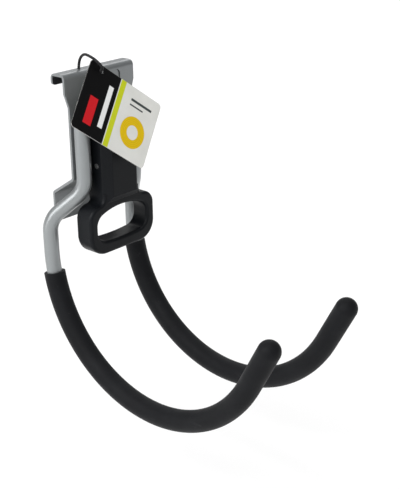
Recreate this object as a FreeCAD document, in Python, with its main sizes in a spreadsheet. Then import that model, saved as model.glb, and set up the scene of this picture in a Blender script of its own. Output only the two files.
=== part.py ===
import FreeCAD, Part
import Sketcher
import math
import os
import re

# Rail-hung utility hook. Millimetres, +Z up, -Y to the front, +Y to the wall, +X to the right.
# The origin is the rail seat: middle of the hook, rear face of the sheet, underside of the lip.

SIZES = [
    ("sheet_thickness", 2.0, "thickness of the folded sheet"),
    ("bend_radius", 2.0, "inside radius of each fold"),
    ("lip_gap", 11.0, "room for the rail inside the lip"),
    ("lip_drop", 9.2, "height of the lip's rear flange"),
    ("body_width", 64.4, "width of the bracket below its shoulders"),
    ("shoulder_out", 3.7, "how far the head stands out past the body on each side"),
    ("shoulder_start", 12.4, "rail seat down to where the head narrows"),
    ("shoulder_end", 23.7, "rail seat down to where the body width is reached"),
    ("joggle_start", 79.3, "rail seat down to the fold towards the wall"),
    ("joggle_angle", 32.5, "fall of the joggle below the horizontal, degrees"),
    ("wall_offset", 23.4, "wall face behind the rear of the sheet"),
    ("flange_end", 119.1, "rail seat down to the lower edge of the wall flange"),
    ("corner_radius", 4.0, "corners of the shoulders and of the wall flange"),
    ("lip_corner", 2.5, "lower corners of the lip"),
    ("recess_width", 43.0, "pressed panel between the tubes"),
    ("recess_depth", 1.0, "depth of the pressed panel"),
    ("recess_start", 2.4, "rail seat down to the pressed panel"),
    ("recess_end", 75.0, "rail seat down to the end of the pressed panel"),
    ("cut_overrun", 2.0, "how far a cut runs past the sheet"),
    ("tube_diameter", 12.0, "arm tubes"),
    ("tube_wall", 1.5, "wall of the arm tubes"),
    ("tube_spacing", 53.2, "between the tubes on the bracket"),
    ("tube_start", 31.0, "rail seat down to the top of the tubes"),
    ("arm_spacing", 89.6, "between the arms"),
    ("arm_setback", 14.35, "axis of the arms behind the rear of the sheet"),
    ("offset_middle", 100.1, "rail seat down to the middle of the double bend"),
    ("offset_angle", 50.0, "turn of each bend of the double bend, degrees"),
    ("offset_radius", 21.0, "axis radius of the double bend"),
    ("arc_start", 136.6, "rail seat down to the start of the arm's arc"),
    ("arm_radius", 107.0, "axis radius of the arm's arc"),
    ("arm_sweep", 152.0, "turn of the arm's arc, degrees"),
    ("tip_run", 36.0, "straight run from the arc to the middle of the round end"),
    ("tube_end_gap", 0.3, "tube end to the bottom of the sleeve"),
    ("sleeve_diameter", 16.9, "grip sleeves"),
    ("sleeve_play", 0.1, "radial play of the sleeves on the tubes"),
    ("sleeve_start", 10.2, "where the sleeve begins on the arc, degrees"),
    ("bead_length", 34.0, "each weld bead"),
    ("bead_start", 36.0, "rail seat down to the weld beads"),
    ("bead_reach", 5.0, "from the tube's axis to the toe of the bead"),
    ("bead_height", 3.0, "bead's throat up the tube"),
    ("bead_play", 0.05, "bead to the tube and the sheet"),
    ("latch_width", 37.6, "body of the latch"),
    ("latch_depth", 23.35, "front of the sheet to the front of the latch"),
    ("latch_chamfer", 6.1, "chamfered front corners of the latch"),
    ("latch_start", 26.0, "rail seat down to the top of the latch"),
    ("latch_ledge", 91.6, "rail seat down to the ledge below the chamfers"),
    ("latch_wall", 2.5, "wall of the latch"),
    ("latch_play", 0.3, "clearance of the latch in the bracket"),
    ("latch_travel", 8.0, "stroke of the latch"),
    ("latch_edge", 1.0, "rounded upright edges of the latch"),
    ("latch_brow", 3.0, "rounded top edge of the latch"),
    ("loop_width", 69.0, "finger loop"),
    ("loop_setback", 3.7, "front of the loop behind the front of the latch"),
    ("loop_depth", 17.2, "front to back of the loop"),
    ("loop_start", 98.6, "rail seat down to the loop's shoulders"),
    ("loop_fall", 2.8, "fall of the shoulders from the latch to the loop's sides"),
    ("loop_end", 139.8, "rail seat down to the bottom of the loop"),
    ("loop_shoulder", 10.5, "upper corners of the loop"),
    ("loop_heel", 16.0, "lower corners of the loop"),
    ("loop_neck", 5.5, "hollow corners between latch and loop"),
    ("loop_edge", 2.5, "rounded edges of the loop"),
    ("loop_rim", 8.0, "sides of the loop beside its opening"),
    ("window_start", 103.6, "rail seat down to the top of the loop's arched opening"),
    ("window_end", 130.2, "rail seat down to the lower side of the opening"),
    ("window_arch", 6.5, "rise of the opening's arched top"),
    ("window_sag", 2.0, "fall of the opening's bowed bottom"),
    ("window_corner", 9.5, "corners of the opening"),
    ("brow_slope", 5.0, "height of the slope from the latch's front to the loop's front"),
    ("heel_slope", 16.0, "height of the slope from the latch's rear to the loop's rear"),
    ("lug_wall", 2.4, "necks of the four snap lugs"),
    ("lug_catch", 1.6, "how far a lug grips behind the sheet"),
    ("lug_flex", 2.0, "room beside a lug for its snap"),
    ("lug_height", 8.0, "height of a lug"),
    ("lug_head", 2.0, "thickness of a lug's head"),
    ("upper_lug", 32.0, "rail seat down to the upper lugs"),
    ("lower_lug", 56.0, "rail seat down to the lower lugs"),
    ("prong_inner", 6.4, "inner side of each lock prong"),
    ("prong_outer", 9.8, "outer side of each lock prong"),
    ("prong_start", 50.0, "rail seat down to the lock prongs"),
    ("prong_height", 8.0, "height of the lock prongs"),
    ("prong_reach", 7.0, "prongs behind the rear of the sheet"),
    ("prong_ramp", 3.0, "sloped upper corner of the prongs"),
    ("pin_diameter", 4.0, "cross pin"),
    ("pin_depth", 14.15, "pin axis in front of the rear of the sheet"),
    ("pin_drop", 69.6, "rail seat down to the pin axis"),
    ("pin_proud", 0.4, "how far the pin shows on each side"),
    ("pin_play", 0.02, "pin in its holes"),
    ("wire_diameter", 1.0, "spring wire"),
    ("coil_radius", 3.4, "axis radius of the spring's coils"),
    ("coil_turns", 9.0, "turns of the spring"),
    ("spring_depth", 10.5, "spring axis in front of the rear of the sheet"),
    ("spring_play", 0.05, "spring ends to the tab and the latch"),
    ("stop_play", 0.3, "pin below the tab that stops it"),
    ("tab_width", 8.0, "spring tab of the bracket"),
    ("tab_slit", 0.4, "slit beside the spring tab"),
    ("tag_width", 75.6, "card tag, long side"),
    ("tag_height", 54.8, "card tag, short side"),
    ("tag_thickness", 0.6, "card"),
    ("tag_corner", 3.0, "corners of the card"),
    ("tag_turn", 38.4, "tag turned in its own plane, degrees"),
    ("tag_lean", 15.0, "top of the tag leaning to the wall, degrees"),
    ("tag_shift", -7.1, "middle of the tag to the side"),
    ("tag_front", 27.2, "middle of the tag in front of the rear of the sheet"),
    ("tag_drop", 29.5, "rail seat down to the middle of the tag"),
    ("tag_hole", 2.1, "radius of the tag's hole"),
    ("cord_diameter", 2.1, "elastic cord"),
    ("cord_hole", 1.5, "radius of the hole in the lip for the cord"),
    ("knot_radius", 2.4, "stop knots of the cord"),
]

doc = FreeCAD.newDocument("utility_hook")
sheet = doc.addObject("Spreadsheet::Sheet", "sizes")
for row, (alias, number, note) in enumerate(SIZES, start=1):
    sheet.set("A%d" % row, note)
    sheet.set("B%d" % row, str(number))
    sheet.setAlias("B%d" % row, alias)
doc.recompute()
ALIASES = {alias for alias, number, note in SIZES}


def named(text):
    """The expression with every size written as a cell of the sheet."""
    return re.sub(r"[a-z_]+", lambda word: "sizes." + word.group() if word.group() in ALIASES
                  else word.group(), text)


def value(text):
    """The present value of an expression in the sheet's sizes."""
    return float(sheet.evalExpression(named(text)))


# Short expressions that several pieces share
FRONT = "(0 - sheet_thickness)"
LATCH_HALF = "(latch_width / 2)"
LATCH_FRONT = "(0 - sheet_thickness - latch_depth)"
LATCH_SIDE = "(0 - sheet_thickness - latch_depth + latch_chamfer)"
LATCH_REAR = "(0 - sheet_thickness - latch_play)"
PANEL_FRONT = "(recess_depth - sheet_thickness)"
LOOP_FRONT = "(0 - sheet_thickness - latch_depth + loop_setback)"
TAB_LOW = "(0 - pin_drop + pin_diameter / 2 + stop_play)"
TAB_TOP = "(%s + sheet_thickness)" % TAB_LOW
TAB_FRONT = "(0 - pin_depth - pin_diameter / 2)"


def new_body(label):
    body = doc.addObject("PartDesign::Body", label)
    body.Label = label
    return body


def sketch_on(body, role, name, lift="0"):
    """A sketch on one of the body's own planes, lifted along the plane's normal."""
    plane = [item for item in body.Origin.OriginFeatures if item.Role == role][0]
    sketch = body.newObject("Sketcher::SketchObject", name)
    sketch.AttachmentSupport = [(plane, "")]
    sketch.MapMode = "FlatFace"
    sketch.setExpression("AttachmentOffset.Base.z", named(lift))
    return sketch


def hold(sketch, geometry, end, x, y):
    """Ties one point of a sketch to two expressions."""
    for kind, text in (("DistanceX", x), ("DistanceY", y)):
        rule = Sketcher.Constraint(kind, -1, 1, geometry, end, value(text))
        index = sketch.addConstraint(rule)
        sketch.setExpression("Constraints[%d]" % index, named(text))


def outline(sketch, corners):
    """A closed outline of straight lines through (x, y) expressions."""
    points = [FreeCAD.Vector(value(x), value(y), 0) for x, y in corners]
    first = sketch.GeometryCount
    count = len(points)
    for step in range(count):
        sketch.addGeometry(Part.LineSegment(points[step], points[(step + 1) % count]))
    for step in range(count):
        after = first + (step + 1) % count
        sketch.addConstraint(Sketcher.Constraint("Coincident", first + step, 2, after, 1))
    for step, (x, y) in enumerate(corners):
        hold(sketch, first + step, 1, x, y)


def box_outline(sketch, left, right, low, high):
    outline(sketch, [(left, low), (right, low), (right, high), (left, high)])


def circle(sketch, x, y, radius):
    centre = FreeCAD.Vector(value(x), value(y), 0)
    index = sketch.addGeometry(Part.Circle(centre, FreeCAD.Vector(0, 0, 1), value(radius)))
    hold(sketch, index, 3, x, y)
    rule = sketch.addConstraint(Sketcher.Constraint("Radius", index, value(radius)))
    sketch.setExpression("Constraints[%d]" % rule, named(radius))


def line(sketch, start, end):
    index = sketch.addGeometry(Part.LineSegment(
        FreeCAD.Vector(value(start[0]), value(start[1]), 0),
        FreeCAD.Vector(value(end[0]), value(end[1]), 0)))
    hold(sketch, index, 1, *start)
    hold(sketch, index, 2, *end)
    return index


def arc(sketch, centre, radius, begin, finish, start, end):
    """An arc between two angles in degrees, tied by its ends and its radius."""
    ring = Part.Circle(FreeCAD.Vector(value(centre[0]), value(centre[1]), 0),
                       FreeCAD.Vector(0, 0, 1), value(radius))
    index = sketch.addGeometry(Part.ArcOfCircle(ring, math.radians(begin), math.radians(finish)))
    hold(sketch, index, 1, *start)
    hold(sketch, index, 2, *end)
    rule = sketch.addConstraint(Sketcher.Constraint("Radius", index, value(radius)))
    sketch.setExpression("Constraints[%d]" % rule, named(radius))
    return index


def pad(body, sketch, name, length, symmetric=False, reverse=False):
    feature = body.newObject("PartDesign::Pad", name)
    feature.Profile = sketch
    if symmetric:
        feature.SideType = "Symmetric"
    feature.Reversed = reverse
    feature.setExpression("Length", named(length))
    doc.recompute()
    return feature


def pocket(body, sketch, name, length=None, reverse=False):
    """A cut of a given depth, or through everything both ways."""
    before = body.Shape.Volume
    feature = body.newObject("PartDesign::Pocket", name)
    feature.Profile = sketch
    if length is None:
        feature.SideType = "Symmetric"
        feature.Type = "ThroughAll"
    else:
        feature.setExpression("Length", named(length))
    feature.Reversed = reverse
    doc.recompute()
    if body.Shape.Volume > before - 1e-6:
        raise RuntimeError("the cut %s takes nothing away" % name)
    return feature


def edges_where(shape, test):
    names = []
    for number, edge in enumerate(shape.Edges, start=1):
        if test(edge):
            names.append("Edge%d" % number)
    return names


def fillet(body, name, radius, test):
    base = body.Tip
    names = edges_where(base.Shape, test)
    if not names:
        raise RuntimeError("no edges for " + name)
    feature = body.newObject("PartDesign::Fillet", name)
    feature.Base = (base, names)
    feature.setExpression("Radius", named(radius))
    doc.recompute()
    if "Invalid" in feature.State or feature.Shape.isNull():
        raise RuntimeError("%s fails on %s" % (name, ", ".join(names)))
    return feature


def runs_along(edge, axis):
    """True for a straight edge along x, y or z, given as 0, 1 or 2."""
    if not isinstance(edge.Curve, Part.Line):
        return False
    direction = edge.Curve.Direction
    return abs(abs(direction[axis]) - 1) < 1e-6


def close(a, b, reach=0.02):
    return abs(a - b) < reach


# Back bracket: the folded sheet's section, drawn from the side
bracket = new_body("back_bracket")
TAN = "tan(joggle_angle)"
COS = "cos(joggle_angle)"
LIP_WIDTH = "(body_width + 2 * shoulder_out)"
LIP_REAR = "(lip_gap + sheet_thickness)"
LIP_LOW = "(sheet_thickness - lip_drop)"
FLANGE_FRONT = "(wall_offset - sheet_thickness)"
JOGGLE_REAR_LOW = "(0 - joggle_start - wall_offset * %s)" % TAN
JOGGLE_FRONT_LOW = "(0 - joggle_start - %s * %s - sheet_thickness / %s)" % (FLANGE_FRONT, TAN, COS)
JOGGLE_FRONT_TOP = "(0 - joggle_start + sheet_thickness * %s - sheet_thickness / %s)" % (TAN, COS)
section = sketch_on(bracket, "YZ_Plane", "bracket_section")
outline(section, [
    (FRONT, "sheet_thickness"),
    (LIP_REAR, "sheet_thickness"),
    (LIP_REAR, LIP_LOW),
    ("lip_gap", LIP_LOW),
    ("lip_gap", "0"),
    ("0", "0"),
    ("0", "0 - joggle_start"),
    ("wall_offset", JOGGLE_REAR_LOW),
    ("wall_offset", "0 - flange_end"),
    (FLANGE_FRONT, "0 - flange_end"),
    (FLANGE_FRONT, JOGGLE_FRONT_LOW),
    (FRONT, JOGGLE_FRONT_TOP),
])
pad(bracket, section, "bracket_sheet", LIP_WIDTH, symmetric=True)

# The head is wider than the body: both sides are cut back below the shoulders
for side, name in ((-1, "left_trim"), (1, "right_trim")):
    trim = sketch_on(bracket, "XZ_Plane", name + "_outline")
    sign = "%d * " % side
    outline(trim, [
        (sign + LIP_WIDTH + " / 2", "0 - shoulder_start"),
        (sign + "body_width / 2", "0 - shoulder_end"),
        (sign + "body_width / 2", "0 - flange_end - cut_overrun"),
        (sign + "(%s / 2 + cut_overrun)" % LIP_WIDTH, "0 - flange_end - cut_overrun"),
        (sign + "(%s / 2 + cut_overrun)" % LIP_WIDTH, "0 - shoulder_start"),
    ])
    pocket(bracket, trim, name)

# Folds: outer and inner radii of the four bends
outer_corners = [
    (value(FRONT), value("sheet_thickness")),
    (value(LIP_REAR), value("sheet_thickness")),
    (value(FRONT), value(JOGGLE_FRONT_TOP)),
    (value("wall_offset"), value(JOGGLE_REAR_LOW)),
]
inner_corners = [
    (value("lip_gap"), 0.0),
    (0.0, 0.0),
    (0.0, value("0 - joggle_start")),
    (value(FLANGE_FRONT), value(JOGGLE_FRONT_LOW)),
]


def at_corner(corners):
    def test(edge):
        if not runs_along(edge, 0):
            return False
        spot = edge.CenterOfMass
        return any(close(spot.y, y) and close(spot.z, z) for y, z in corners)
    return test


fillet(bracket, "outer_folds", "bend_radius + sheet_thickness", at_corner(outer_corners))
fillet(bracket, "inner_folds", "bend_radius", at_corner(inner_corners))


def sheet_corner(x, z):
    def test(edge):
        spot = edge.CenterOfMass
        return runs_along(edge, 1) and close(abs(spot.x), x) and close(spot.z, z)
    return test


fillet(bracket, "flange_corners", "corner_radius",
       sheet_corner(value("body_width / 2"), value("0 - flange_end")))
fillet(bracket, "shoulder_corners", "corner_radius",
       sheet_corner(value(LIP_WIDTH + " / 2"), value("0 - shoulder_start")))
fillet(bracket, "neck_corners", "corner_radius",
       sheet_corner(value("body_width / 2"), value("0 - shoulder_end")))
fillet(bracket, "lip_corners", "lip_corner",
       sheet_corner(value(LIP_WIDTH + " / 2"), value(LIP_LOW)))

# Pressed panel between the tubes: set back on the front, proud on the rear
panel = sketch_on(bracket, "XZ_Plane", "panel_rear_outline")
box_outline(panel, "0 - recess_width / 2", "recess_width / 2", "0 - recess_end", "0 - recess_start")
pad(bracket, panel, "panel_rear", "recess_depth", reverse=True)
panel = sketch_on(bracket, "XZ_Plane", "panel_front_outline", "sheet_thickness")
box_outline(panel, "0 - recess_width / 2", "recess_width / 2", "0 - recess_end", "0 - recess_start")
pocket(bracket, panel, "panel_front", "recess_depth")


def panel_upright(edge):
    spot = edge.CenterOfMass
    return (runs_along(edge, 1) and close(abs(spot.x), value("recess_width / 2"))
            and (close(spot.z, value("0 - recess_start")) or close(spot.z, value("0 - recess_end"))))


fillet(bracket, "panel_corners", "corner_radius", panel_upright)

# Windows for the lock prongs, slots for the four lugs, and the gap the spring tab leaves
openings = sketch_on(bracket, "XZ_Plane", "opening_outlines")
for side in ("-1 * ", "1 * "):
    box_outline(openings, side + "(prong_inner - latch_play)", side + "(prong_outer + latch_play)",
                "0 - prong_start - prong_height - latch_travel - latch_play",
                "0 - prong_start + latch_play")
for side in ("-1 * ", "1 * "):
    for lug in ("upper_lug", "lower_lug"):
        near = side + "(latch_width / 2 - lug_wall - lug_flex)"
        far = side + "(latch_width / 2 + latch_play)"
        box_outline(openings, near, far,
                    "0 - %s - lug_height - latch_travel - latch_play" % lug,
                    "0 - %s + latch_play" % lug)
pocket(bracket, openings, "openings")
blank = sketch_on(bracket, "XZ_Plane", "tab_blank_outline")
box_outline(blank, "0 - tab_width / 2 - tab_slit", "tab_width / 2 + tab_slit", TAB_TOP,
            "%s - %s + recess_depth" % (TAB_TOP, TAB_FRONT))
pocket(bracket, blank, "tab_blank")

# Spring tab, lanced from the sheet and folded to the front
tab = sketch_on(bracket, "XY_Plane", "spring_tab_outline", TAB_LOW)
box_outline(tab, "0 - tab_width / 2", "tab_width / 2", TAB_FRONT, "recess_depth")
pad(bracket, tab, "spring_tab", "sheet_thickness")

# Hole in the lip's top for the elastic
CORD_X = -12.3
CORD_Y = 7.75
cord_hole = sketch_on(bracket, "XY_Plane", "cord_hole_outline", "sheet_thickness")
circle(cord_hole, "%g" % CORD_X, "%g" % CORD_Y, "cord_hole")
pocket(bracket, cord_hole, "cord_hole", "sheet_thickness")

# Arm tubes: a double bend outwards and back, then the arc of the arm
SIDE_RUN = "((arm_spacing - tube_spacing) / 2)"
BACK_RUN = "(arm_setback + sheet_thickness + tube_diameter / 2)"
OFFSET_RUN = "sqrt(%s ^ 2 + %s ^ 2)" % (SIDE_RUN, BACK_RUN)
TUBE_Y = "(0 - sheet_thickness - tube_diameter / 2)"
BEND_WIDE = "(offset_radius * (1 - cos(offset_angle)))"
BEND_TALL = "(offset_radius * sin(offset_angle))"
STRAIGHT_WIDE = "(%s - 2 * %s)" % (OFFSET_RUN, BEND_WIDE)
BEND_HALF = "(%s + %s / tan(offset_angle) / 2)" % (BEND_TALL, STRAIGHT_WIDE)
ARC_Y = "(arm_setback - arm_radius)"


def arm_path(body, name, side, begin, run):
    """Side view of the arm: its arc from a given angle, then the straight tip."""
    path = sketch_on(body, "YZ_Plane", name, "%d * arm_spacing / 2" % side)
    start = ("%s + arm_radius * cos(%s)" % (ARC_Y, begin),
             "0 - arc_start - arm_radius * sin(%s)" % begin)
    end = ("%s + arm_radius * cos(arm_sweep)" % ARC_Y, "0 - arc_start - arm_radius * sin(arm_sweep)")
    tip = ("%s - (%s) * sin(arm_sweep)" % (end[0], run), "%s - (%s) * cos(arm_sweep)" % (end[1], run))
    arc(path, (ARC_Y, "0 - arc_start"), "arm_radius", 0 - value("arm_sweep"), 0 - value(begin), end, start)
    line(path, end, tip)
    return path


def pipe(body, kind, name, profile, path):
    feature = body.newObject("PartDesign::" + kind, name)
    feature.Profile = profile
    feature.Spine = (path, ["Edge%d" % (number + 1) for number in range(len(path.Shape.Edges))])
    doc.recompute()
    return feature


def arm_tube(label, side):
    body = new_body(label)
    # The double bend lies in an upright plane that runs outwards and back
    bend = sketch_on(body, "XZ_Plane", label + "_offset_path", "0")
    turn = "atan2(%s; %s)" % (BACK_RUN, SIDE_RUN)
    if side < 0:
        turn = "180 deg - " + turn
    bend.AttachmentOffset = FreeCAD.Placement(FreeCAD.Vector(0, 0, 0),
                                              FreeCAD.Rotation(FreeCAD.Vector(0, 1, 0), 10))
    bend.setExpression("AttachmentOffset.Base.x", named("%d * tube_spacing / 2" % side))
    bend.setExpression("AttachmentOffset.Base.z", named("0 - " + TUBE_Y))
    bend.setExpression("AttachmentOffset.Rotation.Angle", named(turn))
    top = ("0", "0 - tube_start")
    first = ("0", "0 - offset_middle + " + BEND_HALF)
    second = (BEND_WIDE, "0 - offset_middle + %s - %s" % (BEND_HALF, BEND_TALL))
    third = ("%s - %s" % (OFFSET_RUN, BEND_WIDE), "0 - offset_middle - %s + %s" % (BEND_HALF, BEND_TALL))
    fourth = (OFFSET_RUN, "0 - offset_middle - " + BEND_HALF)
    foot = (OFFSET_RUN, "0 - arc_start")
    angle = value("offset_angle")
    line(bend, top, first)
    arc(bend, ("offset_radius", first[1]), "offset_radius", 180, 180 + angle, first, second)
    line(bend, second, third)
    arc(bend, (OFFSET_RUN + " - offset_radius", fourth[1]), "offset_radius", 0, angle, fourth, third)
    line(bend, fourth, foot)
    doc.recompute()
    arm = arm_path(body, label + "_arm_path", side, "0", "tip_run - tube_end_gap")
    for kind, name, radius in (("AdditivePipe", "outer", "tube_diameter / 2"),
                               ("SubtractivePipe", "inner", "tube_diameter / 2 - tube_wall")):
        end = sketch_on(body, "XY_Plane", "%s_%s_top" % (label, name), "0 - tube_start")
        circle(end, "%d * tube_spacing / 2" % side, TUBE_Y, radius)
        start = sketch_on(body, "XY_Plane", "%s_%s_foot" % (label, name), "0 - arc_start")
        circle(start, "%d * arm_spacing / 2" % side, "arm_setback", radius)
        doc.recompute()
        pipe(body, kind, "%s_%s_offset" % (label, name), end, bend)
        pipe(body, kind, "%s_%s_arm" % (label, name), start, arm)
    return body


left_tube = arm_tube("left_arm_tube", -1)
right_tube = arm_tube("right_arm_tube", 1)


# Grip sleeves: a tube along the arm with a closed round end
def grip_sleeve(label, side):
    body = new_body(label)
    path = arm_path(body, label + "_path", side, "sleeve_start", "tip_run")
    rims = []
    for name, radius in (("rim", "sleeve_diameter / 2"), ("bore", "tube_diameter / 2 + sleeve_play")):
        rim = sketch_on(body, "XY_Plane", "%s_%s" % (label, name))
        rim.AttachmentOffset = FreeCAD.Placement(FreeCAD.Vector(0, 0, 0),
                                                 FreeCAD.Rotation(FreeCAD.Vector(1, 0, 0), -10))
        rim.setExpression("AttachmentOffset.Base.x", named("%d * arm_spacing / 2" % side))
        rim.setExpression("AttachmentOffset.Base.y",
                          named("%s + arm_radius * cos(sleeve_start)" % ARC_Y))
        rim.setExpression("AttachmentOffset.Base.z",
                          named("0 - arc_start - arm_radius * sin(sleeve_start)"))
        rim.setExpression("AttachmentOffset.Rotation.Angle", named("360 - sleeve_start"))
        circle(rim, "0", "0", radius)
        rims.append(rim)
    doc.recompute()
    pipe(body, "AdditivePipe", label + "_skin", rims[0], path)
    dome = body.newObject("PartDesign::AdditiveSphere", label + "_dome")
    dome.setExpression("Radius", named("sleeve_diameter / 2"))
    dome.Placement = FreeCAD.Placement(FreeCAD.Vector(0, 0, 0), FreeCAD.Rotation(FreeCAD.Vector(1, 0, 0), 62))
    dome.setExpression("Placement.Base.x", named("%d * arm_spacing / 2" % side))
    dome.setExpression("Placement.Base.y", named(
        "%s + arm_radius * cos(arm_sweep) - tip_run * sin(arm_sweep)" % ARC_Y))
    dome.setExpression("Placement.Base.z", named(
        "0 - arc_start - arm_radius * sin(arm_sweep) - tip_run * cos(arm_sweep)"))
    doc.recompute()
    before = body.Shape.Volume
    pipe(body, "SubtractivePipe", label + "_hollow", rims[1], path)
    if body.Shape.Volume > before:
        raise RuntimeError("the sleeve is not hollow")
    return body


left_sleeve = grip_sleeve("left_grip_sleeve", -1)
right_sleeve = grip_sleeve("right_grip_sleeve", 1)

# Weld beads: fillets along the inner side of each tube, cut to the tube's curve
beads = []
for side, name in ((-1, "left"), (1, "right")):
    bead = doc.addObject("Part::Box", name + "_bead_block")
    bead.setExpression("Length", named("bead_reach"))
    bead.setExpression("Width", named("bead_height - bead_play"))
    bead.setExpression("Height", named("bead_length"))
    shift = "tube_spacing / 2 - bead_reach" if side > 0 else "0 - tube_spacing / 2"
    bead.setExpression("Placement.Base.x", named(shift))
    bead.setExpression("Placement.Base.y", named("0 - sheet_thickness - bead_height"))
    bead.setExpression("Placement.Base.z", named("0 - bead_start - bead_length"))
    shave = doc.addObject("Part::Cylinder", name + "_bead_shave")
    shave.setExpression("Radius", named("tube_diameter / 2 + bead_play"))
    shave.setExpression("Height", named("bead_length + 2 * cut_overrun"))
    shave.setExpression("Placement.Base.x", named("%d * tube_spacing / 2" % side))
    shave.setExpression("Placement.Base.y", named(TUBE_Y))
    shave.setExpression("Placement.Base.z", named("0 - bead_start - bead_length - cut_overrun"))
    cut = doc.addObject("Part::Cut", name + "_bead_cut")
    cut.Base = bead
    cut.Tool = shave
    slope = doc.addObject("Part::Box", name + "_bead_slope")
    slope.setExpression("Length", named("2 * bead_reach"))
    slope.setExpression("Width", named("2 * bead_reach"))
    slope.setExpression("Height", named("bead_length + 2 * cut_overrun"))
    slope.Placement = FreeCAD.Placement(FreeCAD.Vector(0, 0, 0),
                                        FreeCAD.Rotation(FreeCAD.Vector(0, 0, 1), 45))
    slope.setExpression("Placement.Rotation.Angle", "225")
    # The toe of the bead lies on the sheet, its slope rises at 45 degrees to the tube
    slope.setExpression("Placement.Base.x", named("%d * (tube_spacing / 2 - bead_reach)" % side))
    slope.setExpression("Placement.Base.y", named("0 - sheet_thickness - bead_play"))
    slope.setExpression("Placement.Base.z", named("0 - bead_start - bead_length - cut_overrun"))
    shaped = doc.addObject("Part::Cut", name + "_bead")
    shaped.Base = cut
    shaped.Tool = slope
    beads.append(shaped)
weld_beads = doc.addObject("Part::Compound", "weld_beads")
weld_beads.Links = beads
weld_beads.Label = "weld_beads"
doc.recompute()

# Release latch: the finger loop first, with all its edges rounded
latch = new_body("release_latch")
loop = sketch_on(latch, "XZ_Plane", "loop_outline", "0 - " + LOOP_FRONT)
outline(loop, [
    ("0 - " + LATCH_HALF, "0 - latch_ledge"),
    ("0 - " + LATCH_HALF, "0 - loop_start"),
    ("0 - loop_width / 2", "0 - loop_start - loop_fall"),
    ("0 - loop_width / 2", "0 - loop_end"),
    ("loop_width / 2", "0 - loop_end"),
    ("loop_width / 2", "0 - loop_start - loop_fall"),
    (LATCH_HALF, "0 - loop_start"),
    (LATCH_HALF, "0 - latch_ledge"),
])
# Its opening has an arched top and a bowed bottom
WINDOW_HALF = "(loop_width / 2 - loop_rim)"
WINDOW_TOP = "(0 - window_start - window_arch)"
WINDOW_LOW = "(0 - window_end + window_sag)"
ARCH = "((%s ^ 2 + window_arch ^ 2) / 2 / window_arch)" % WINDOW_HALF
BOW = "((%s ^ 2 + window_sag ^ 2) / 2 / window_sag)" % WINDOW_HALF
rise = math.degrees(math.asin(value(WINDOW_HALF) / value(ARCH)))
fall = math.degrees(math.asin(value(WINDOW_HALF) / value(BOW)))
low_left = ("0 - " + WINDOW_HALF, WINDOW_LOW)
low_right = (WINDOW_HALF, WINDOW_LOW)
top_left = ("0 - " + WINDOW_HALF, WINDOW_TOP)
top_right = (WINDOW_HALF, WINDOW_TOP)
line(loop, low_right, top_right)
arc(loop, ("0", "0 - window_start - " + ARCH), ARCH, 90 - rise, 90 + rise, top_right, top_left)
line(loop, top_left, low_left)
arc(loop, ("0", "0 - window_end + " + BOW), BOW, 270 - fall, 270 + fall, low_left, low_right)
pad(latch, loop, "loop_ring", "loop_depth", reverse=True)
fillet(latch, "loop_shoulders", "loop_shoulder",
       sheet_corner(value("loop_width / 2"), value("0 - loop_start - loop_fall")))
fillet(latch, "loop_heels", "loop_heel", sheet_corner(value("loop_width / 2"), value("0 - loop_end")))
fillet(latch, "loop_necks", "loop_neck", sheet_corner(value(LATCH_HALF), value("0 - loop_start")))


def window_corners(edge):
    spot = edge.CenterOfMass
    return (runs_along(edge, 1) and close(abs(spot.x), value(WINDOW_HALF))
            and (close(spot.z, value(WINDOW_TOP)) or close(spot.z, value(WINDOW_LOW))))


fillet(latch, "window_corners", "window_corner", window_corners)


def loop_rim(edge):
    """Edges of the loop's front and rear faces, apart from the top of the neck."""
    box = edge.BoundBox
    flat = close(box.YMin, box.YMax)
    rim = close(box.YMin, value(LOOP_FRONT)) or close(box.YMin, value(LOOP_FRONT + " + loop_depth"))
    return flat and rim and not close(edge.CenterOfMass.z, value("0 - latch_ledge"))


fillet(latch, "loop_edges", "loop_edge", loop_rim)

# The hollow body above the loop, with chamfered front corners
body_plan = sketch_on(latch, "XY_Plane", "latch_plan", "0 - loop_start")
TANGENT = "(latch_edge * (sqrt(2) - 1))"
SLANT = "(latch_edge * (1 - sqrt(2) / 2))"
rear_left = ("0 - " + LATCH_HALF, LATCH_REAR)
rear_right = (LATCH_HALF, LATCH_REAR)
rounds = [
    (("0 - %s + latch_edge" % LATCH_HALF, "%s + %s" % (LATCH_SIDE, TANGENT)), 180,
     ("0 - " + LATCH_HALF, "%s + %s" % (LATCH_SIDE, TANGENT)),
     ("0 - %s + %s" % (LATCH_HALF, SLANT), "%s - %s" % (LATCH_SIDE, SLANT))),
    (("0 - %s + latch_chamfer + %s" % (LATCH_HALF, TANGENT), LATCH_FRONT + " + latch_edge"), 225,
     ("0 - %s + latch_chamfer - %s" % (LATCH_HALF, SLANT), "%s + %s" % (LATCH_FRONT, SLANT)),
     ("0 - %s + latch_chamfer + %s" % (LATCH_HALF, TANGENT), LATCH_FRONT)),
    (("%s - latch_chamfer - %s" % (LATCH_HALF, TANGENT), LATCH_FRONT + " + latch_edge"), 270,
     ("%s - latch_chamfer - %s" % (LATCH_HALF, TANGENT), LATCH_FRONT),
     ("%s - latch_chamfer + %s" % (LATCH_HALF, SLANT), "%s + %s" % (LATCH_FRONT, SLANT))),
    ((LATCH_HALF + " - latch_edge", "%s + %s" % (LATCH_SIDE, TANGENT)), 315,
     ("%s - %s" % (LATCH_HALF, SLANT), "%s - %s" % (LATCH_SIDE, SLANT)),
     (LATCH_HALF, "%s + %s" % (LATCH_SIDE, TANGENT))),
]
at = rear_left
for centre, angle, begin, finish in rounds:
    line(body_plan, at, begin)
    arc(body_plan, centre, "latch_edge", angle, angle + 45, begin, finish)
    at = finish
line(body_plan, at, rear_right)
line(body_plan, rear_right, rear_left)
pad(latch, body_plan, "latch_block", "loop_start - latch_start")

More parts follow.
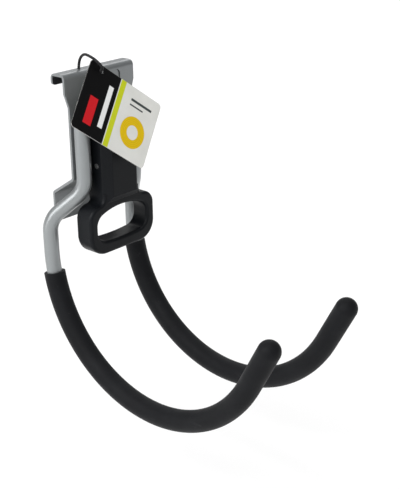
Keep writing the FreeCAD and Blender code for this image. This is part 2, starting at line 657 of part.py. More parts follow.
# The front falls back to the loop over a short slope
slope = sketch_on(latch, "YZ_Plane", "brow_section")
outline(slope, [
    (LATCH_FRONT, "0 - loop_start + brow_slope"),
    (LATCH_FRONT + " - cut_overrun", "0 - loop_start + brow_slope"),
    (LATCH_FRONT + " - cut_overrun", "0 - loop_start - cut_overrun"),
    (LOOP_FRONT, "0 - loop_start - cut_overrun"),
    (LOOP_FRONT, "0 - loop_start"),
])
pocket(latch, slope, "brow")

# The rear comes forward to the loop over a longer slope
heel = sketch_on(latch, "YZ_Plane", "heel_section")
LOOP_REAR = "(%s + loop_depth)" % LOOP_FRONT
outline(heel, [
    (LATCH_REAR, "0 - loop_start + heel_slope"),
    (LATCH_REAR + " + cut_overrun", "0 - loop_start + heel_slope"),
    (LATCH_REAR + " + cut_overrun", "0 - loop_start - cut_overrun"),
    (LOOP_REAR, "0 - loop_start - cut_overrun"),
    (LOOP_REAR, "0 - loop_start"),
])
pocket(latch, heel, "heel")


def latch_top(edge):
    box = edge.BoundBox
    flat = close(box.ZMin, box.ZMax) and close(box.ZMin, value("0 - latch_start"))
    return flat and not close(edge.CenterOfMass.y, value(LATCH_REAR))


fillet(latch, "latch_top", "latch_brow", latch_top)

hollow = sketch_on(latch, "XY_Plane", "hollow_plan", "0 - latch_start - latch_wall")
INNER = "(%s - latch_wall)" % LATCH_HALF
INNER_SIDE = "(%s + latch_wall * (sqrt(2) - 1))" % LATCH_SIDE
INNER_FRONT = "(%s + latch_wall)" % LATCH_FRONT
INNER_CORNER = "(%s - latch_chamfer - latch_wall * (sqrt(2) - 1))" % LATCH_HALF
outline(hollow, [
    ("0 - " + INNER, LATCH_REAR + " + cut_overrun"),
    ("0 - " + INNER, INNER_SIDE),
    ("0 - " + INNER_CORNER, INNER_FRONT),
    (INNER_CORNER, INNER_FRONT),
    (INNER, INNER_SIDE),
    (INNER, LATCH_REAR + " + cut_overrun"),
])
pocket(latch, hollow, "hollow", "loop_start - latch_start - 2 * latch_wall")

# Lock prongs, from the front wall through the bracket's window
prongs = sketch_on(latch, "XY_Plane", "prong_plan", "0 - prong_start - prong_height")
for side in ("-1 * ", "1 * "):
    box_outline(prongs, side + "prong_inner", side + "prong_outer",
                INNER_FRONT + " - latch_wall / 2", "prong_reach")
pad(latch, prongs, "lock_prongs", "prong_height")
ramp = sketch_on(latch, "YZ_Plane", "prong_ramp_section")
outline(ramp, [
    ("prong_reach - prong_ramp", "0 - prong_start"),
    ("prong_reach", "0 - prong_start - prong_ramp"),
    ("prong_reach + cut_overrun", "0 - prong_start - prong_ramp"),
    ("prong_reach + cut_overrun", "0 - prong_start + cut_overrun"),
    ("prong_reach - prong_ramp", "0 - prong_start + cut_overrun"),
])
pocket(latch, ramp, "prong_ramps")

# Four snap lugs that grip behind the sheet
HEAD_NEAR = "(recess_depth + latch_play)"
HEAD_FAR = "(recess_depth + latch_play + lug_head)"
for lug in ("upper_lug", "lower_lug"):
    plan = sketch_on(latch, "XY_Plane", lug + "_plan", "0 - %s - lug_height" % lug)
    for side in ("-1 * ", "1 * "):
        outline(plan, [
            (side + "(%s - lug_wall)" % LATCH_HALF, LATCH_REAR + " - latch_wall"),
            (side + LATCH_HALF, LATCH_REAR + " - latch_wall"),
            (side + LATCH_HALF, HEAD_NEAR),
            (side + "(%s + lug_catch)" % LATCH_HALF, HEAD_NEAR),
            (side + LATCH_HALF, HEAD_FAR),
            (side + "(%s - lug_wall)" % LATCH_HALF, HEAD_FAR),
        ])
    pad(latch, plan, lug + "s", "lug_height")

# Cross holes for the pin
holes = sketch_on(latch, "YZ_Plane", "pin_hole_outline")
circle(holes, "0 - pin_depth", "0 - pin_drop", "pin_diameter / 2 + pin_play")
pocket(latch, holes, "pin_holes")

# Cross pin
latch_pin = doc.addObject("Part::Cylinder", "latch_pin")
latch_pin.Label = "latch_pin"
latch_pin.setExpression("Radius", named("pin_diameter / 2"))
latch_pin.setExpression("Height", named("latch_width + 2 * pin_proud"))
latch_pin.Placement = FreeCAD.Placement(FreeCAD.Vector(0, 0, 0),
                                        FreeCAD.Rotation(FreeCAD.Vector(0, 1, 0), 90))
latch_pin.setExpression("Placement.Base.x", named("0 - latch_width / 2 - pin_proud"))
latch_pin.setExpression("Placement.Base.y", named("0 - pin_depth"))
latch_pin.setExpression("Placement.Base.z", named("0 - pin_drop"))

# Return spring: coils between the bracket's tab and the top of the latch
spring = new_body("return_spring")
COIL_LOW = "(%s + wire_diameter / 2 + spring_play)" % TAB_TOP
COIL_HIGH = "(0 - latch_start - latch_wall - wire_diameter / 2 - spring_play)"
wire = sketch_on(spring, "XZ_Plane", "wire_section", "spring_depth")
circle(wire, "coil_radius", COIL_LOW, "wire_diameter / 2")
doc.recompute()
coil = spring.newObject("PartDesign::AdditiveHelix", "coils")
coil.Profile = wire
coil.ReferenceAxis = (wire, ["V_Axis"])
coil.Mode = "height-turns-angle"
coil.setExpression("Height", named("%s - %s" % (COIL_HIGH, COIL_LOW)))
coil.setExpression("Turns", named("coil_turns"))
doc.recompute()

# Card tag, turned in its own plane and leaning on the latch
hang_tag = new_body("hang_tag")
card = sketch_on(hang_tag, "XZ_Plane", "card_outline")
box_outline(card, "0 - tag_width / 2", "tag_width / 2", "0 - tag_height / 2", "tag_height / 2")
pad(hang_tag, card, "card", "tag_thickness", symmetric=True)
fillet(hang_tag, "card_corners", "tag_corner", lambda edge: runs_along(edge, 1))
turn = FreeCAD.Rotation(FreeCAD.Vector(0, 1, 0), value("tag_turn"))
lean = FreeCAD.Rotation(FreeCAD.Vector(1, 0, 0), 0 - value("tag_lean"))
hang_tag.Placement = FreeCAD.Placement(
    FreeCAD.Vector(value("tag_shift"), 0 - value("tag_front"), 0 - value("tag_drop")), lean.multiply(turn))
doc.recompute()

# Elastic cord: straight runs joined by arcs, from the lip through the tag's hole
CORD_ROUTE = [
    (CORD_X, CORD_Y, -2.5),
    (CORD_X, CORD_Y, 7.0),
    (-16.2, -2.5, 15.4),
    (-18.6, -12.6, 15.0),
    (-18.4, -19.8, 12.3),
    (-15.6, -23.2, 7.0),
    (-13.1, -18.2, 3.8),
    (-12.5, -15.5, 3.1),
]


def cord_path(points):
    """Edges of the route and the radius at each turn."""
    points = [FreeCAD.Vector(*point) for point in points]
    edges = []
    radii = []
    at = points[0]
    for before, corner, after in zip(points, points[1:], points[2:]):
        inward = (corner - before).normalize()
        outward = (after - corner).normalize()
        half = inward.getAngle(outward) / 2
        reach = 0.45 * min((corner - before).Length, (after - corner).Length)
        radii.append(reach / math.tan(half))
        begin = corner - inward * reach
        finish = corner + outward * reach
        inner = (outward - inward).normalize()
        edges.append(Part.LineSegment(at, begin).toShape())
        centre = corner + inner * (radii[-1] / math.cos(half))
        middle = centre + (corner - centre).normalize() * radii[-1]
        edges.append(Part.Arc(begin, middle, finish).toShape())
        at = finish
    edges.append(Part.LineSegment(at, points[-1]).toShape())
    return edges, radii


edges, radii = cord_path(CORD_ROUTE)
path = Part.Wire(edges)
start = edges[0].valueAt(edges[0].FirstParameter)
ahead = edges[0].tangentAt(edges[0].FirstParameter)
ring = Part.Wire(Part.Circle(start, ahead, value("cord_diameter / 2")).toShape())
tag_cord = doc.addObject("Part::Feature", "tag_cord")
tag_cord.Label = "tag_cord"
tag_cord.Shape = path.makePipeShell([ring], True, False)
tag_cord.Placement = FreeCAD.Placement()
wanted = math.pi * value("cord_diameter / 2") ** 2 * path.Length
print("cord length", round(path.Length, 1), "radii", [round(radius, 1) for radius in radii],
      "volume share", round(tag_cord.Shape.Volume / wanted, 4))

# The tag's hole where the cord goes through it
spot = hang_tag.Placement.inverse().multVec(FreeCAD.Vector(*CORD_ROUTE[6]))
punch = sketch_on(hang_tag, "XZ_Plane", "punch_outline")
circle(punch, "%g" % spot.x, "%g" % spot.z, "tag_hole")
pocket(hang_tag, punch, "punch")

# Stop knots at both ends of the cord, closed around it
knots = []
for name, spot in (("lip_knot", CORD_ROUTE[0]), ("tag_knot", CORD_ROUTE[-1])):
    ball = doc.addObject("Part::Sphere", name + "_ball")
    ball.setExpression("Radius", named("knot_radius"))
    ball.Placement = FreeCAD.Placement(FreeCAD.Vector(*spot), FreeCAD.Rotation())
    knot = doc.addObject("Part::Cut", name)
    knot.Base = ball
    knot.Tool = tag_cord
    knots.append(knot)
cord_knots = doc.addObject("Part::Compound", "cord_knots")
cord_knots.Links = knots
cord_knots.Label = "cord_knots"
doc.recompute()

NODES = [
    bracket,
    left_tube,
    right_tube,
    left_sleeve,
    right_sleeve,
    weld_beads,
    latch,
    latch_pin,
    spring,
    hang_tag,
    tag_cord,
    cord_knots,
]
doc.recompute()
for item in doc.Objects:
    if "Invalid" in item.State or "Error" in item.State:
        raise RuntimeError("%s did not compute" % item.Label)
for node in NODES:
    if node.Shape.isNull() or not node.Shape.isValid():
        raise RuntimeError("%s has no valid shape" % node.Label)
    print(node.Label, len(node.Shape.Solids), round(node.Shape.Volume, 1), node.Shape.BoundBox)
os.makedirs("parts", exist_ok=True)
for node in NODES:
    node.Shape.exportStep("parts/%s.step" % node.Label)
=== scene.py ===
"""Garage utility hook: materials, spring, elastic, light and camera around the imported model."""

import math

import bmesh
import bpy
from mathutils import Matrix, Vector


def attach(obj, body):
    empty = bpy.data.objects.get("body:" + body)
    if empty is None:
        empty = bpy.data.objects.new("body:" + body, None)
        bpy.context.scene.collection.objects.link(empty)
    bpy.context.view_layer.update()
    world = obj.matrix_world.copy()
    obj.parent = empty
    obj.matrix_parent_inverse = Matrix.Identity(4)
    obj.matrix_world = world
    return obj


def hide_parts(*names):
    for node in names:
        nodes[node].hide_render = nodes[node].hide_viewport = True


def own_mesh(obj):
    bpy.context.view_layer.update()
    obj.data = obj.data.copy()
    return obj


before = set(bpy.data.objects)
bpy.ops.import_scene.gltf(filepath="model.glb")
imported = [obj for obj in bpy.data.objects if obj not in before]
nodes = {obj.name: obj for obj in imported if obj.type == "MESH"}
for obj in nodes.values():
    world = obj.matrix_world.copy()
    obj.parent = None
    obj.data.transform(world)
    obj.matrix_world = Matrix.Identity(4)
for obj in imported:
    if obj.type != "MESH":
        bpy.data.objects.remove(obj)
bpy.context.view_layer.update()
scene = bpy.context.scene
MM = 0.001


def link(name, data):
    """A new object of that data, in the scene."""
    made = bpy.data.objects.new(name, data)
    scene.collection.objects.link(made)
    return made


# Node helpers
MIX_FACTOR, MIX_FIRST, MIX_SECOND, MIX_RESULT = 0, 6, 7, 2  # sockets of a Mix node for colours
SPREAD = (0.3, 0.7)  # nearly all of a noise lies in this range


def material(name):
    """A new node material, its shader and its tree."""
    made = bpy.data.materials.new(name)
    made.use_nodes = True
    return made, made.node_tree.nodes["Principled BSDF"], made.node_tree


def constants(shader, **settings):
    """Values on the shader's own sockets; _ stands for a space in a socket's name."""
    for key, setting in settings.items():
        shader.inputs[key.replace("_", " ")].default_value = setting


def surface(tree, shader, tone, roughness):
    """Colour and roughness from nodes."""
    tree.links.new(tone, shader.inputs["Base Color"])
    tree.links.new(roughness, shader.inputs["Roughness"])


def add(tree, kind, **settings):
    """A node of that kind; settings name its properties, or else its inputs."""
    node = tree.nodes.new("ShaderNode" + kind)
    for key, setting in settings.items():
        if hasattr(node, key):
            setattr(node, key, setting)
        else:
            node.inputs[key].default_value = setting
    return node


def feed(tree, value, socket):
    """A number, a colour or another node's output into a socket."""
    if isinstance(value, tuple):
        socket.default_value = (*value, 1.0)
    elif isinstance(value, (int, float)):
        socket.default_value = value
    else:
        tree.links.new(value, socket)


def place(tree):
    """Coordinates that stay on the piece when its body moves."""
    return add(tree, "TexCoord").outputs["Object"]


def noise(tree, scale, detail, rough, stretch=None):
    """Noise with scale features to the metre; a small stretch draws it out along an axis."""
    source = place(tree)
    if stretch is not None:
        mapping = add(tree, "Mapping", Scale=stretch)
        tree.links.new(source, mapping.inputs["Vector"])
        source = mapping.outputs["Vector"]
    node = add(tree, "TexNoise", Scale=scale, Detail=detail, Roughness=rough)
    tree.links.new(source, node.inputs["Vector"])
    return node.outputs["Fac"]


def ramp(tree, fac, stops):
    """A colour ramp over fac: stops are (place, colour)."""
    node = add(tree, "ValToRGB")
    elements = node.color_ramp.elements
    while len(elements) < len(stops):
        elements.new(0.5)
    for element, (where, colour) in zip(elements, stops):
        element.position = where
        element.color = (*colour, 1.0)
    tree.links.new(fac, node.inputs["Fac"])
    return node.outputs["Color"]


def two_tone(tree, fac, dark, light, spread=SPREAD):
    """From the dark to the light colour as fac goes through its spread."""
    return ramp(tree, fac, list(zip(spread, (dark, light))))


def remap(tree, fac, given, becomes):
    """The range given of fac stretched to the range becomes, and held at both ends."""
    node = add(tree, "MapRange")
    ends = ("From Min", "From Max", "To Min", "To Max")
    for end, number in zip(ends, (*given, *becomes)):
        node.inputs[end].default_value = number
    tree.links.new(fac, node.inputs["Value"])
    return node.outputs["Result"]


def math_node(tree, operation, *values):
    """That operation on one or two values."""
    node = add(tree, "Math", operation=operation)
    for value, socket in zip(values, node.inputs):
        feed(tree, value, socket)
    return node.outputs["Value"]


def mix(tree, fac, first, second):
    """The first colour where fac is 0, the second where it is 1."""
    node = add(tree, "Mix", data_type="RGBA")
    feed(tree, fac, node.inputs[MIX_FACTOR])
    feed(tree, first, node.inputs[MIX_FIRST])
    feed(tree, second, node.inputs[MIX_SECOND])
    return node.outputs[MIX_RESULT]


def bump(tree, shader, height, strength, depth):
    """One more layer of bump over those before it; depth is in millimetres."""
    node = add(tree, "Bump", Strength=strength, Distance=MM * depth)
    tree.links.new(height, node.inputs["Height"])
    for before in shader.inputs["Normal"].links:
        tree.links.new(before.from_socket, node.inputs["Normal"])
    tree.links.new(node.outputs["Normal"], shader.inputs["Normal"])


# Masks for what lies at a place of the part, in millimetres
MASK_EDGE = 0.12


def along(tree, axis, middle):
    """Millimetres from middle along axis."""
    node = add(tree, "VectorMath", operation="DOT_PRODUCT")
    tree.links.new(place(tree), node.inputs[0])
    node.inputs[1].default_value = axis
    centred = math_node(tree, "SUBTRACT", node.outputs["Value"], axis.dot(middle))
    return math_node(tree, "DIVIDE", centred, MM)


def inside(tree, where, low, high):
    """1 between low and high, with an edge as soft as printed ink."""
    up = remap(tree, where, (low - MASK_EDGE, low + MASK_EDGE), (0.0, 1.0))
    down = remap(tree, where, (high - MASK_EDGE, high + MASK_EDGE), (1.0, 0.0))
    return math_node(tree, "MULTIPLY", up, down)


def in_box(tree, u, v, box):
    """1 inside a rectangle: box is its two limits in u, then its two in v."""
    left, right, low, high = box
    return math_node(tree, "MULTIPLY", inside(tree, u, left, right), inside(tree, v, low, high))


def far_from(tree, u, v, middle):
    """Millimetres from a point (u, v)."""
    du = math_node(tree, "SUBTRACT", u, middle[0])
    dv = math_node(tree, "SUBTRACT", v, middle[1])
    squares = [math_node(tree, "MULTIPLY", side, side) for side in (du, dv)]
    return math_node(tree, "SQRT", math_node(tree, "ADD", *squares))


# Silver coat of the steel: half gloss, with fine metal flakes and a faint orange peel
FLAKE = (0.46, 0.47, 0.48)
FLAKE_SPREAD = (0.35, 0.65)
FLAKE_COVER = (0.0, 0.05)
# Painted shade: near-black tone for the walls of the lip's channel
LIP_CHANNEL_SHADE = (0.030, 0.031, 0.033)
LIP_CHANNEL = (0.3, 11.2, -7.3, 0.1)  # millimetres in y, then in z


def lip_channel_shade(tree):
    """1 on the walls of the lip's channel, where shade is painted on the coat."""
    origin = Vector((0, 0, 0))
    back = along(tree, Vector((0, 1, 0)), origin)
    height = along(tree, Vector((0, 0, 1)), origin)
    return in_box(tree, back, height, LIP_CHANNEL)


def powder_coat(name, dark, light, gloss, painted_shade=None):
    """The coat; painted shade darkens it where the given mask is 1."""
    made, shader, tree = material(name)
    tone = two_tone(tree, noise(tree, scale=14.0, detail=3.0, rough=0.5), dark, light)
    flakes = noise(tree, scale=2600.0, detail=1.0, rough=0.5)
    tone = mix(tree, remap(tree, flakes, FLAKE_SPREAD, FLAKE_COVER), tone, FLAKE)
    # painted shade inside the lip's channel
    if painted_shade is not None:
        tone = mix(tree, painted_shade(tree), tone, LIP_CHANNEL_SHADE)
    clouds = noise(tree, scale=30.0, detail=3.0, rough=0.6)
    roughness = remap(tree, clouds, SPREAD, (gloss - 0.02, gloss + 0.03))
    surface(tree, shader, tone, roughness)
    constants(shader, Metallic=0.65, Specular_IOR_Level=0.5, Coat_Weight=0.20, Coat_Roughness=0.20)
    peel = noise(tree, scale=350.0, detail=2.0, rough=0.5)
    bump(tree, shader, peel, strength=0.03, depth=0.3)
    return made


# Dipped soft sleeve: matte black, with a fine grain, soft dimples and pale scuffs
SLEEVE_DARK = (0.0052, 0.0055, 0.0066)
SLEEVE_LIGHT = (0.0082, 0.0087, 0.0102)
SCUFF = (0.06, 0.06, 0.062)
SCUFF_STRETCH = (1.0, 0.25, 1.0)
SCUFF_SPREAD = (0.62, 0.78)
SCUFF_COVER = (0.0, 0.22)


def soft_sleeve():
    made, shader, tree = material("grip_soft_vinyl")
    broad = noise(tree, scale=45.0, detail=4.0, rough=0.6)
    tone = two_tone(tree, broad, SLEEVE_DARK, SLEEVE_LIGHT, spread=(0.25, 0.75))
    rubbed = noise(tree, scale=160.0, detail=6.0, rough=0.7, stretch=SCUFF_STRETCH)
    tone = mix(tree, remap(tree, rubbed, SCUFF_SPREAD, SCUFF_COVER), tone, SCUFF)
    clouds = noise(tree, scale=70.0, detail=4.0, rough=0.6)
    roughness = remap(tree, clouds, SPREAD, (0.50, 0.64))
    surface(tree, shader, tone, roughness)
    constants(shader, Specular_IOR_Level=0.10, Sheen_Weight=0.03, Sheen_Roughness=0.5)
    dimple = noise(tree, scale=240.0, detail=2.0, rough=0.5)
    grain = noise(tree, scale=2200.0, detail=3.0, rough=0.6)
    bump(tree, shader, dimple, strength=0.10, depth=0.6)
    bump(tree, shader, grain, strength=0.16, depth=0.2)
    return made


# Moulded black plastic of the latch: fine eroded texture, half gloss
PLASTIC_DARK = (0.0038, 0.0045, 0.0056)
PLASTIC_LIGHT = (0.0055, 0.0064, 0.0080)


def moulded_plastic():
    made, shader, tree = material("latch_moulded_plastic")
    broad = noise(tree, scale=30.0, detail=3.0, rough=0.5)
    tone = two_tone(tree, broad, PLASTIC_DARK, PLASTIC_LIGHT)
    clouds = noise(tree, scale=120.0, detail=4.0, rough=0.6)
    roughness = remap(tree, clouds, SPREAD, (0.32, 0.40))
    surface(tree, shader, tone, roughness)
    constants(shader, Specular_IOR_Level=0.13)
    eroded = add(tree, "TexVoronoi", Scale=1700.0, feature="SMOOTH_F1")
    tree.links.new(place(tree), eroded.inputs["Vector"])
    waves = noise(tree, scale=260.0, detail=2.0, rough=0.5)
    bump(tree, shader, eroded.outputs["Distance"], strength=0.05, depth=0.2)
    bump(tree, shader, waves, strength=0.03, depth=0.4)
    return made


# Bare steel of the pin and the spring wire, with drawing lines
def drawn_steel(name, dark, light, gloss, stretch):
    made, shader, tree = material(name)
    lines = noise(tree, scale=2600.0, detail=3.0, rough=0.6, stretch=stretch)
    roughness = remap(tree, lines, (0.2, 0.8), (gloss - 0.06, gloss + 0.10))
    surface(tree, shader, two_tone(tree, lines, dark, light), roughness)
    constants(shader, Metallic=1.0)
    bump(tree, shader, lines, strength=0.12, depth=0.1)
    return made


# Braided elastic: two crossing sets of strands, with a little fuzz
STRAND_TURN = 0.7  # radians
STRAND_LEAN = 0.3  # share of that turn about y
STRAND_DARK = (0.004, 0.004, 0.0045)
STRAND_LIGHT = (0.013, 0.013, 0.0145)
FUZZ = (0.045, 0.045, 0.048)
FUZZ_SPREAD = (0.6, 0.75)
FUZZ_COVER = (0.0, 0.3)


def braid():
    made, shader, tree = material("elastic_braid")
    strands = []
    for turn in (STRAND_TURN, -STRAND_TURN):
        mapping = add(tree, "Mapping", Rotation=(turn, STRAND_LEAN * turn, turn))
        tree.links.new(place(tree), mapping.inputs["Vector"])
        wave = add(tree, "TexWave", Scale=520.0, Distortion=0.6, Detail=2.0)
        tree.links.new(mapping.outputs["Vector"], wave.inputs["Vector"])
        strands.append(wave.outputs["Fac"])
    weave = math_node(tree, "MAXIMUM", *strands)
    fuzz = noise(tree, scale=3000.0, detail=4.0, rough=0.7)
    tone = two_tone(tree, weave, STRAND_DARK, STRAND_LIGHT, spread=(0.2, 0.9))
    tone = mix(tree, remap(tree, fuzz, FUZZ_SPREAD, FUZZ_COVER), tone, FUZZ)
    roughness = remap(tree, fuzz, SPREAD, (0.62, 0.8))
    surface(tree, shader, tone, roughness)
    constants(shader, Specular_IOR_Level=0.25, Sheen_Weight=0.05, Sheen_Roughness=0.4)
    bump(tree, shader, weave, strength=0.5, depth=0.3)
    bump(tree, shader, fuzz, strength=0.2, depth=0.2)
    return made


# Printed card of the tag: plain fields in its own plane, u along it and v across it, in millimetres
TAG_CENTRE = Vector((-7.1, -27.2, -29.5)) * MM
TAG_LEAN = math.radians(-15.0)
TAG_TILT = math.radians(38.4)
TAG_TURN = Matrix.Rotation(TAG_LEAN, 3, "X") @ Matrix.Rotation(TAG_TILT, 3, "Y")
TAG_FACE = (-37.72, 37.72, -27.32, 27.32)  # the front up to its bare cut edge
TAG_FRONT = (-0.25, -0.2)
TAG_REAR = (0.2, 0.25)
PAST_EDGE = -80.0
BLACK_FIELD = (PAST_EDGE, -6.4)
INKED_EDGE = (PAST_EDGE, -37.6)
LIME_STRIPE = (-5.6, -0.6)
WHITE_BAR = (-15.2, -10.6, -17.0, 17.0)
RED_BLOCK = (-29.0, -21.0, -20.0, 2.0)
LONG_LINE = (8.0, 30.0, 16.6, 18.6)
SHORT_LINE = (8.0, 22.0, 12.8, 14.0)
RING_MIDDLE = (18.0, -6.0)
RING_REACH = (5.6, 12.4)
GROOVE_PITCH = 1.5
GROOVE_SPREAD = (0.0, 0.3)
GROOVE_COVER = (0.8, 0.0)
# The hole through the card; shade is painted on its wall
HOLE_MIDDLE = (-26.13, 23.31)
HOLE_SHADE_REACH = (-1.0, 2.6)
EDGE_TONE = (0.03, 0.03, 0.03)
PAPERS = {
    "core": ((0.38, 0.38, 0.37), (0.46, 0.46, 0.45)),
    "board": ((0.64, 0.63, 0.60), (0.72, 0.71, 0.68)),
    "front": ((0.69, 0.69, 0.655), (0.75, 0.75, 0.715)),
}
INKS = {
    "black": ((0.0030, 0.0030, 0.0032), (0.0060, 0.0060, 0.0063)),
    "lime": ((0.50, 0.56, 0.015), (0.58, 0.63, 0.03)),
    "red": ((0.52, 0.010, 0.016), (0.62, 0.020, 0.026)),
    "yellow": ((0.70, 0.47, 0.006), (0.78, 0.54, 0.012)),
    "amber": ((0.52, 0.30, 0.004), (0.58, 0.35, 0.008)),
    "white": ((0.76, 0.77, 0.76), (0.84, 0.85, 0.84)),
    "slate": ((0.045, 0.055, 0.055), (0.065, 0.075, 0.075)),
}


def printed_card():
    made, shader, tree = material("tag_printed_card")
    u, depth, v = (along(tree, TAG_TURN @ axis, TAG_CENTRE) for axis in Matrix.Identity(3))
    fibre = noise(tree, scale=1500.0, detail=5.0, rough=0.7)
    ink = {name: mix(tree, fibre, *tones) for name, tones in INKS.items()}
    reach = far_from(tree, u, v, RING_MIDDLE)
    grooves = math_node(tree, "PINGPONG", reach, GROOVE_PITCH / 2)
    grooves = remap(tree, grooves, GROOVE_SPREAD, GROOVE_COVER)
    hoop = mix(tree, grooves, ink["yellow"], ink["amber"])
    tone = two_tone(tree, noise(tree, scale=60.0, detail=3.0, rough=0.5), *PAPERS["front"])
    for cover, colour in (
        (inside(tree, u, *BLACK_FIELD), ink["black"]),
        (inside(tree, u, *LIME_STRIPE), ink["lime"]),
        (in_box(tree, u, v, WHITE_BAR), ink["white"]),
        (in_box(tree, u, v, RED_BLOCK), ink["red"]),
        (inside(tree, reach, *RING_REACH), hoop),
        (in_box(tree, u, v, LONG_LINE), ink["slate"]),
        (in_box(tree, u, v, SHORT_LINE), ink["slate"]),
    ):
        tone = mix(tree, cover, tone, colour)
    front = remap(tree, depth, TAG_FRONT, (1.0, 0.0))
    printed = math_node(tree, "MULTIPLY", in_box(tree, u, v, TAG_FACE), front)
    tone = mix(tree, printed, two_tone(tree, fibre, *PAPERS["core"]), tone)
    # painted shade: the wall of the hole through the card in black
    hole_shade = inside(tree, far_from(tree, u, v, HOLE_MIDDLE), *HOLE_SHADE_REACH)
    tone = mix(tree, hole_shade, tone, ink["black"])
    tone = mix(tree, inside(tree, u, *INKED_EDGE), tone, EDGE_TONE)
    rear = remap(tree, depth, TAG_REAR, (0.0, 1.0))
    tone = mix(tree, rear, tone, two_tone(tree, fibre, *PAPERS["board"]))
    roughness = remap(tree, fibre, SPREAD, (0.34, 0.46))
    surface(tree, shader, tone, roughness)
    constants(shader, Specular_IOR_Level=0.07)
    waves = noise(tree, scale=40.0, detail=2.0, rough=0.5)
    bump(tree, shader, fibre, strength=0.05, depth=0.2)
    bump(tree, shader, waves, strength=0.05, depth=2.0)
    return made


# A material on each imported node
# Painted shade: the bracket's copy of the silver coat is darker than the tubes' copy of the same
# coat
shaded_bracket_coat = powder_coat(
    "bracket_shaded_silver_coat",
    dark=(0.220, 0.233, 0.238),
    light=(0.232, 0.245, 0.250),
    gloss=0.34,
    painted_shade=lip_channel_shade,
)
coat_tube = powder_coat(
    "tube_silver_coat",
    dark=(0.260, 0.275, 0.280),
    light=(0.272, 0.287, 0.292),
    gloss=0.33,
)
pin_steel = drawn_steel(
    "pin_bright_steel",
    dark=(0.58, 0.58, 0.58),
    light=(0.74, 0.74, 0.73),
    gloss=0.26,
    stretch=(0.02, 1.0, 1.0),
)
spring_wire = drawn_steel(
    "spring_wire",
    dark=(0.45, 0.45, 0.46),
    light=(0.62, 0.62, 0.63),
    gloss=0.32,
    stretch=(1.0, 1.0, 0.4),
)
sleeve = soft_sleeve()
elastic = braid()
for name, made in (
    ("back_bracket", shaded_bracket_coat),
    ("weld_beads", shaded_bracket_coat),
    ("left_arm_tube", coat_tube),
    ("right_arm_tube", coat_tube),
    ("left_grip_sleeve", sleeve),
    ("right_grip_sleeve", sleeve),
    ("release_latch", moulded_plastic()),
    ("latch_pin", pin_steel),
    ("return_spring", spring_wire),
    ("hang_tag", printed_card()),
    ("cord_knots", elastic),
):
    slots = nodes[name].data.materials
    slots.clear()
    slots.append(made)

# Return spring: the imported coils again, as a piece of its own on the frame
coils = link("latch_spring", nodes["return_spring"].data.copy())
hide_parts("return_spring")
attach(coils, "frame")
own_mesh(coils)

# Elastic that holds the tag: the route's points, as in the part's source
CORD_ROUTE = (
    (-12.3, 7.75, -2.5),
    (-12.3, 7.75, 7.0),
    (-16.2, -2.5, 15.4),
    (-18.6, -12.6, 15.0),
    (-18.4, -19.8, 12.3),
    (-15.6, -23.2, 7.0),
    (-13.1, -18.2, 3.8),
    (-12.5, -15.5, 3.1),
)
CORD_DIAMETER = 2.1 * MM
line = bpy.data.curves.new("tag_elastic", "CURVE")
line.dimensions = "3D"
spline = line.splines.new("NURBS")
spline.points.add(len(CORD_ROUTE) - 1)
for point, at in zip(spline.points, CORD_ROUTE):
    point.co = (*(MM * c for c in at), 1.0)
spline.order_u = 3
spline.use_endpoint_u = True
spline.resolution_u = 16
line.bevel_depth = CORD_DIAMETER / 2
line.bevel_resolution = 6
line.use_fill_caps = True
line.materials.append(elastic)
cord = link("tag_elastic", line)
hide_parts("tag_cord")
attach(cord, "frame")

# Pale floor, well below the hanging part: a wide disc
FLOOR_DROP = 0.30
FLOOR_RADIUS = 12.5
FLOOR_SIDES = 96
FLOOR_DARK = (0.31, 0.31, 0.31)
FLOOR_LIGHT = (0.33, 0.33, 0.33)
WHITE = (1.0, 1.0, 1.0, 1.0)
BLACK = (0.0, 0.0, 0.0, 1.0)
turns = [2 * math.pi * i / FLOOR_SIDES for i in range(FLOOR_SIDES)]
rim = [(FLOOR_RADIUS * math.cos(t), FLOOR_RADIUS * math.sin(t), -FLOOR_DROP) for t in turns]
ground = bpy.data.meshes.new("floor")
ground.from_pydata(rim, [], [tuple(range(FLOOR_SIDES))])
paper, shader, tree = material("floor_paper")
clouds = noise(tree, scale=3.0, detail=2.0, rough=0.5)
tree.links.new(two_tone(tree, clouds, FLOOR_DARK, FLOOR_LIGHT), shader.inputs["Base Color"])
constants(shader, Roughness=0.9, Specular_IOR_Level=0.1)
constants(shader, Emission_Color=WHITE, Emission_Strength=0.70)
ground.materials.append(paper)
floor = link("floor", ground)

# Pale backdrop around the floor, seen by the camera and kept out of the light
DROP_RADIUS = 12.0
DROP_DARK = (0.95, 0.95, 0.95)
DROP_LIGHT = (0.97, 0.97, 0.97)
shell = bmesh.new()
bmesh.ops.create_uvsphere(shell, u_segments=64, v_segments=32, radius=DROP_RADIUS)
cloth = bpy.data.meshes.new("backdrop")
shell.to_mesh(cloth)
shell.free()
pale, shader, tree = material("backdrop_paper")
clouds = noise(tree, scale=0.2, detail=2.0, rough=0.5)
tree.links.new(two_tone(tree, clouds, DROP_DARK, DROP_LIGHT), shader.inputs["Emission Color"])
constants(shader, Base_Color=BLACK, Specular_IOR_Level=0.0, Emission_Strength=1.0)
cloth.materials.append(pale)
backdrop = link("backdrop", cloth)
backdrop.visible_diffuse = False
backdrop.visible_glossy = False
backdrop.visible_transmission = False
backdrop.visible_shadow = False

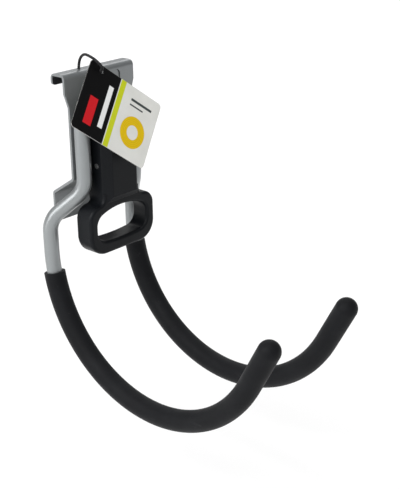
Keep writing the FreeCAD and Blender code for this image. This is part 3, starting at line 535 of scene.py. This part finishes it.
# Surroundings: bright above and to the left, dim to the right
BRIGHT_SIDE = Vector((-0.60, -0.10, 0.79))
SKY_RANGE = (-0.8, 0.9)
SKY_STOPS = [
    (0.0, (0.22, 0.22, 0.225)),
    (0.5, (0.38, 0.38, 0.385)),
    (1.0, (0.78, 0.78, 0.78)),
]
SKY_STRENGTH = 0.85
world = bpy.data.worlds.new("studio")
scene.world = world
world.use_nodes = True
sky = world.node_tree
facing = add(sky, "VectorMath", operation="DOT_PRODUCT")
facing.inputs[1].default_value = BRIGHT_SIDE
sky.links.new(add(sky, "TexCoord").outputs["Generated"], facing.inputs[0])
glow = ramp(sky, remap(sky, facing.outputs["Value"], SKY_RANGE, (0.0, 1.0)), SKY_STOPS)
sky.links.new(glow, sky.nodes["Background"].inputs["Color"])
sky.nodes["Background"].inputs["Strength"].default_value = SKY_STRENGTH


# Studio light: two panels on the left, a small one overhead, one for the floor beyond the part
def panel(name, at, aim, width, height, power):
    """A soft rectangular light at a place, aimed at a point."""
    light = bpy.data.lights.new(name, "AREA")
    light.shape = "RECTANGLE"
    light.size = width
    light.size_y = height
    light.energy = power
    lamp = link(name, light)
    lamp.location = at
    lamp.rotation_euler = (Vector(aim) - Vector(at)).to_track_quat("-Z", "Y").to_euler()


panel("key", (-1.05, -0.35, 0.8), (0.0, -0.08, -0.1), width=0.95, height=1.2, power=11.0)
panel("side", (-1.1, 0.40, 0.45), (0.0, -0.02, -0.1), width=0.6, height=1.3, power=9.0)
panel("overhead", (0.10, -0.28, 1.1), (0.0, -0.05, -0.1), width=0.16, height=0.16, power=1.6)
panel("far_floor", (1.6, 1.5, 1.1), (1.7, 1.6, -0.3), width=2.2, height=2.2, power=30.0)

# Camera where the photograph was taken from
EYE = Vector((-0.56205, -0.61259, 0.18188))
AHEAD = Vector((0.6889, 0.6253, -0.3665)).normalized()
RIGHT = Vector((0.6721, -0.7404, 0.0)).normalized()
ROLL = math.radians(-0.887)
FOCAL_LENGTH = 81.0
SENSOR = 36.0
NEAREST = 0.01
up = RIGHT.cross(AHEAD)
right_rolled = RIGHT * math.cos(ROLL) + up * math.sin(ROLL)
up_rolled = up * math.cos(ROLL) - RIGHT * math.sin(ROLL)
turn = Matrix((right_rolled, up_rolled, -AHEAD)).transposed().to_4x4()
lens = bpy.data.cameras.new("camera")
lens.sensor_width = SENSOR
lens.sensor_fit = "AUTO"
lens.lens = FOCAL_LENGTH
lens.clip_start = NEAREST
camera = link("camera", lens)
camera.matrix_world = Matrix.Translation(EYE) @ turn
scene.camera = camera
scene.view_settings.view_transform = "Standard"
